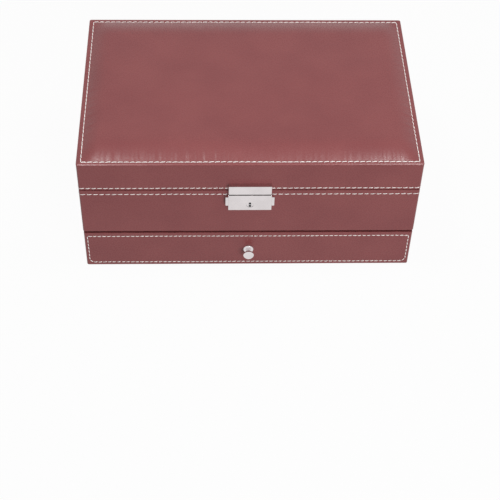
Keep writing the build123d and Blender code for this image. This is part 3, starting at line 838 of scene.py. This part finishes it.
kinds = []
for seed in (3, 11, 27):
    tube, seam = sewn_tube(
        length=pillow_size.x - 2.6 * mm,
        deep=pillow_size.y - seam_draw,
        tall=pillow_size.z - seam_draw,
        rounding=13 * mm,
        around=72,
        steps=15,
        rings=4,
    )
    loosen(tube, 14 * mm, 0.35 * mm, seed)
    kinds.append(stuffed(tube, seam, pillow_room, pressure=5.0, spare=0.05))

pillows = sorted(name for name in frame["nodes"] if name.startswith("watch_pillow"))
for index, node in enumerate(pillows):
    low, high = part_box(node)
    mesh = kinds[index % 3].copy()
    turned = Matrix.Rotation(math.pi * (index // 3 % 2), 4, "Z")
    mesh.transform(Matrix.Translation((low + high) / 2) @ turned)
    cushion = make_piece(node.replace("pillow", "cushion"), mesh, "velvet_pad", body_of[node])
    stand_as_cushion(cushion, node)
print("cushions", len(pillows), "of", len(kinds[0].polygons), "faces")

# %% [markdown]
# The rolls that hold rings are the same thing, long and thin, and lie front to back in the
# drawer. One roll is filled, and six copies stand side by side as one piece.

# %% Ring rolls
rolls_low, rolls_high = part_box("ring_rolls")
roll_count = 6
roll_gap = 1.9 * mm
rolls_width = rolls_high.x - rolls_low.x
roll_width = (rolls_width - roll_gap * (roll_count - 1)) / roll_count
rolls_size = rolls_high - rolls_low
roll_room = (
    Vector((-rolls_size.y / 2, -roll_width / 2 - 0.5 * mm, -rolls_size.z / 2)),
    Vector((rolls_size.y / 2, roll_width / 2 + 0.5 * mm, rolls_size.z / 2)),
)
tube, seam = sewn_tube(
    length=rolls_size.y - 1.5 * mm,
    deep=roll_width - 1.2 * mm,
    tall=rolls_size.z - 1.6 * mm,
    rounding=6.2 * mm,
    around=28,
    steps=54,
    rings=2,
)
loosen(tube, 9 * mm, 0.3 * mm, 5)
roll_mesh = stuffed(tube, seam, roll_room, pressure=5.0, spare=0.04)
rolls = bmesh.new()
middle = (rolls_low + rolls_high) / 2
for index in range(roll_count):
    before = len(rolls.verts)
    rolls.from_mesh(roll_mesh)
    rolls.verts.ensure_lookup_table()
    x = rolls_low.x + roll_width / 2 + (roll_width + roll_gap) * index
    turned = Matrix.Rotation(math.radians(90 + 180 * (index % 2)), 4, "Z")
    placed = Matrix.Translation((x, middle.y, middle.z)) @ turned
    bmesh.ops.transform(rolls, matrix=placed, verts=rolls.verts[before:])
ring_holder = make_piece("ring_holder", rolls, "velvet_pad", "drawer")
stand_as_cushion(ring_holder, "ring_rolls")

# %% [markdown]
# A saddler's stitch dips into the leather at both ends and lies proud between them. One
# stitch is a six-sided ring spun through part of a circle, so it comes out as a short arch.
# It is copied along each row with the same spacing, and the ends stay under the surface.

# %% One stitch
thread_radius = 0.38 * mm
stitch_pitch = 5.1 * mm
stitch_length = 4.6 * mm
stitch_dip = 0.6 * mm
stitch_lift = 0.12 * mm


def one_stitch():
    """A stitch along X that arches towards +Z, with its middle on the leather."""
    shape = bmesh.new()
    bend = ((stitch_length / 2) ** 2 + stitch_dip**2) / (2 * stitch_dip)
    sweep = 2 * math.asin(stitch_length / 2 / bend)
    bmesh.ops.create_circle(shape, cap_ends=True, segments=6, radius=thread_radius)
    upright = Matrix.Rotation(math.radians(90), 3, "Y")
    bmesh.ops.rotate(shape, verts=shape.verts, cent=(0, 0, 0), matrix=upright)
    move(shape, shape.verts, (0, 0, bend))
    start = Matrix.Rotation(-sweep / 2, 3, "Y")
    bmesh.ops.rotate(shape, verts=shape.verts, cent=(0, 0, 0), matrix=start)
    bmesh.ops.spin(
        shape,
        geom=shape.verts[:] + shape.edges[:] + shape.faces[:],
        cent=(0, 0, 0),
        axis=(0, 1, 0),
        angle=sweep,
        steps=6,
    )
    move(shape, shape.verts, (0, 0, stitch_lift - bend))
    bmesh.ops.recalc_face_normals(shape, faces=shape.faces)
    mesh = bpy.data.meshes.new("stitch")
    shape.to_mesh(mesh)
    shape.free()
    return mesh


stitch = one_stitch()
print("one stitch has", len(stitch.polygons), "faces")

# %% [markdown]
# A row is a walk along straight runs. Each run says where it starts and ends and which way
# its surface faces; the stitches share the run evenly, so that they meet at the corners. A
# sewing machine pulls every stitch slightly askew, and the askew comes and goes along the
# seam with the pull of the leather.


# %% Rows of stitches
pull_cell = 35 * mm
usual_askew, more_askew = 5, 8
pulled_aside = 0.25 * mm


def stitch_row(name, runs, body, pitch):
    """Stitches of a pitch along runs of (start, end, outward direction), as one piece."""
    row = bmesh.new()
    total = 0
    for start, end, outward in runs:
        start, end, outward = Vector(start), Vector(end), Vector(outward)
        along = (end - start).normalized()
        count = max(1, round((end - start).length / pitch))
        turn = Matrix((along, outward.cross(along), outward)).transposed().to_4x4()
        turn @= Matrix.Scale(pitch / stitch_pitch, 4, (1, 0, 0))
        for index in range(count):
            middle = start + (end - start) * (index + 0.5) / count
            pull = noise.noise(middle / pull_cell)
            askew = math.radians(usual_askew + more_askew * pull)
            lean = Matrix.Rotation(askew, 4, outward)
            drift = outward.cross(along) * (pulled_aside * pull)
            before = len(row.verts)
            row.from_mesh(stitch)
            row.verts.ensure_lookup_table()
            placed = Matrix.Translation(middle + drift) @ lean @ turn
            bmesh.ops.transform(row, matrix=placed, verts=row.verts[before:])
        total += count
    print(name, total, "stitches")
    return make_piece(name, row, "leather", body, finish=thread)


up, front, left, right = (0, 0, 1), (0, -1, 0), (-1, 0, 0), (1, 0, 0)
hem_top = cover_low.z + hem_height - groove_depth / 2
inset_x, inset_y = panel_x - hems[0], panel_y - hems[1]
corners = [(-inset_x, -inset_y), (inset_x, -inset_y), (inset_x, inset_y), (-inset_x, inset_y)]
stitch_row(
    "top_stitches",
    [
        ((*a, hem_top), (*b, hem_top), up)
        for a, b in zip(corners, corners[1:] + corners[:1])
    ],
    "lid",
    pitch=5.2 * mm,
)

# %% [markdown]
# The lid's lower edge and the case's upper edge each have a row round three sides. The rows
# run nearly to the corners, and on the sides they go back to the leather that is the hinge.

# %% Rows beside the parting line
row_start = 0.8 * mm
above_lid_edge = 2.2 * mm
below_case_edge = 4.5 * mm
edge_x, edge_y = half_width - row_start, half_depth - row_start
for name, height, body, pitch in (
    ("lid_stitches", lid_low.z + above_lid_edge, "lid", 5.1 * mm),
    ("case_stitches", case_high.z - below_case_edge, "case", 5.4 * mm),
):
    stitch_row(
        name,
        [
            ((-half_width, edge_y, height), (-half_width, -edge_y, height), left),
            ((-edge_x, -half_depth, height), (edge_x, -half_depth, height), front),
            ((half_width, -edge_y, height), (half_width, edge_y, height), right),
        ],
        body,
        pitch,
    )

# %% [markdown]
# The drawer's front has a closed rectangle of stitches, and its two lower corners are cut across
# by one slanting stitch.

# %% Rectangle on the drawer
seam_x = front_high.x - 3.1 * mm
seam_low = front_low.z + 3.8 * mm
seam_high = front_high.z - 4.4 * mm
corner_cut = 3.0 * mm
outline = [
    (-seam_x + corner_cut, seam_low),
    (seam_x - corner_cut, seam_low),
    (seam_x, seam_low + corner_cut),
    (seam_x, seam_high),
    (-seam_x, seam_high),
    (-seam_x, seam_low + corner_cut),
]
stitch_row(
    "drawer_stitches",
    [
        ((a[0], -half_depth, a[1]), (b[0], -half_depth, b[1]), front)
        for a, b in zip(outline, outline[1:] + outline[:1])
    ],
    "drawer",
    pitch=4.3 * mm,
)

# %% [markdown]
# The floor is a wide plane. Seen by the camera, and in metal or glass, it is nearly white, and
# under the case it still takes the soft shadow. Light Path tells those rays from the ones
# that light the leather, so the white costs no extra light on the case. The tent overhead is
# made white in the same way, which is why the knob mirrors white from every side.

# %% Floor
def background_rays(owner):
    """1 for the rays that are to see the white background, in a material or the world."""
    rays = add_node(owner, "ShaderNodeLightPath")
    first = add_node(owner, "ShaderNodeMath", operation="MAXIMUM")
    second = add_node(owner, "ShaderNodeMath", operation="MAXIMUM")
    join(owner, rays.outputs["Is Camera Ray"], first.inputs[0])
    join(owner, rays.outputs["Is Glossy Ray"], first.inputs[1])
    join(owner, first.outputs[0], second.inputs[0])
    join(owner, rays.outputs["Is Transmission Ray"], second.inputs[1])
    return second.outputs[0]


white_share = 0.96
floor_below = 0.05 * mm
floor_finish = bpy.data.materials.new("studio_floor")
floor_finish.use_nodes = True
floor_finish.node_tree.nodes.clear()
matt = add_node(floor_finish, "ShaderNodeBsdfDiffuse", Color=(0.55, 0.55, 0.55, 1))
glow = add_node(floor_finish, "ShaderNodeEmission")
both = add_node(floor_finish, "ShaderNodeMixShader")
share = add_node(floor_finish, "ShaderNodeMath", operation="MULTIPLY")
share.inputs[1].default_value = white_share
surface = add_node(floor_finish, "ShaderNodeOutputMaterial")
for source, target in (
    (background_rays(floor_finish), share.inputs[0]),
    (share.outputs[0], both.inputs["Fac"]),
    (matt.outputs["BSDF"], both.inputs[1]),
    (glow.outputs["Emission"], both.inputs[2]),
    (both.outputs["Shader"], surface.inputs["Surface"]),
):
    join(floor_finish, source, target)

ground = bmesh.new()
bmesh.ops.create_grid(ground, x_segments=1, y_segments=1, size=6.0)
ground_mesh = bpy.data.meshes.new("floor")
ground.to_mesh(ground_mesh)
ground.free()
ground_mesh.materials.append(floor_finish)
floor = bpy.data.objects.new("floor", ground_mesh)
bpy.context.collection.objects.link(floor)
floor.location.z = -floor_below

# %% [markdown]
# The light is a product photographer's: a white tent all round, and two soft boxes overhead,
# left and right, with a gap between them. The cushion's front slope mirrors them, and so its
# highlight is strongest near the two corners. A third box, low in front, opens up the front.
# It isn't mirrored, or it would stand as a white patch in the leather when seen from behind.

# %% World and lamps
world = bpy.data.worlds.new("tent")
bpy.context.scene.world = world
world.use_nodes = True
backdrop = world.node_tree.nodes["Background"]
backdrop.inputs["Color"].default_value = (1, 1, 1, 1)
tent_light, white = 0.2, 1.0
strength = span(world, background_rays(world), tent_light, white)
join(world, strength, backdrop.inputs["Strength"])
aim = Vector((0, 0, 0.1))


def soft_box(name, place, width, height, watts):
    """A rectangular lamp that looks at the middle of the case."""
    lamp_data = bpy.data.lights.new(name, "AREA")
    lamp_data.shape = "RECTANGLE"
    lamp_data.size = width
    lamp_data.size_y = height
    lamp_data.energy = watts
    lamp = bpy.data.objects.new(name, lamp_data)
    bpy.context.collection.objects.link(lamp)
    lamp.location = place
    lamp.rotation_euler = (aim - Vector(place)).to_track_quat("-Z", "Y").to_euler()
    return lamp


soft_box("left_box", (-0.37, -0.06, 1.25), width=0.26, height=0.22, watts=5.6)
soft_box("right_box", (0.42, -0.06, 1.25), width=0.24, height=0.28, watts=5.3)
fill = soft_box("front_fill", (0.5, -1.45, 0.6), width=0.8, height=0.8, watts=15.2)
fill.visible_glossy = False
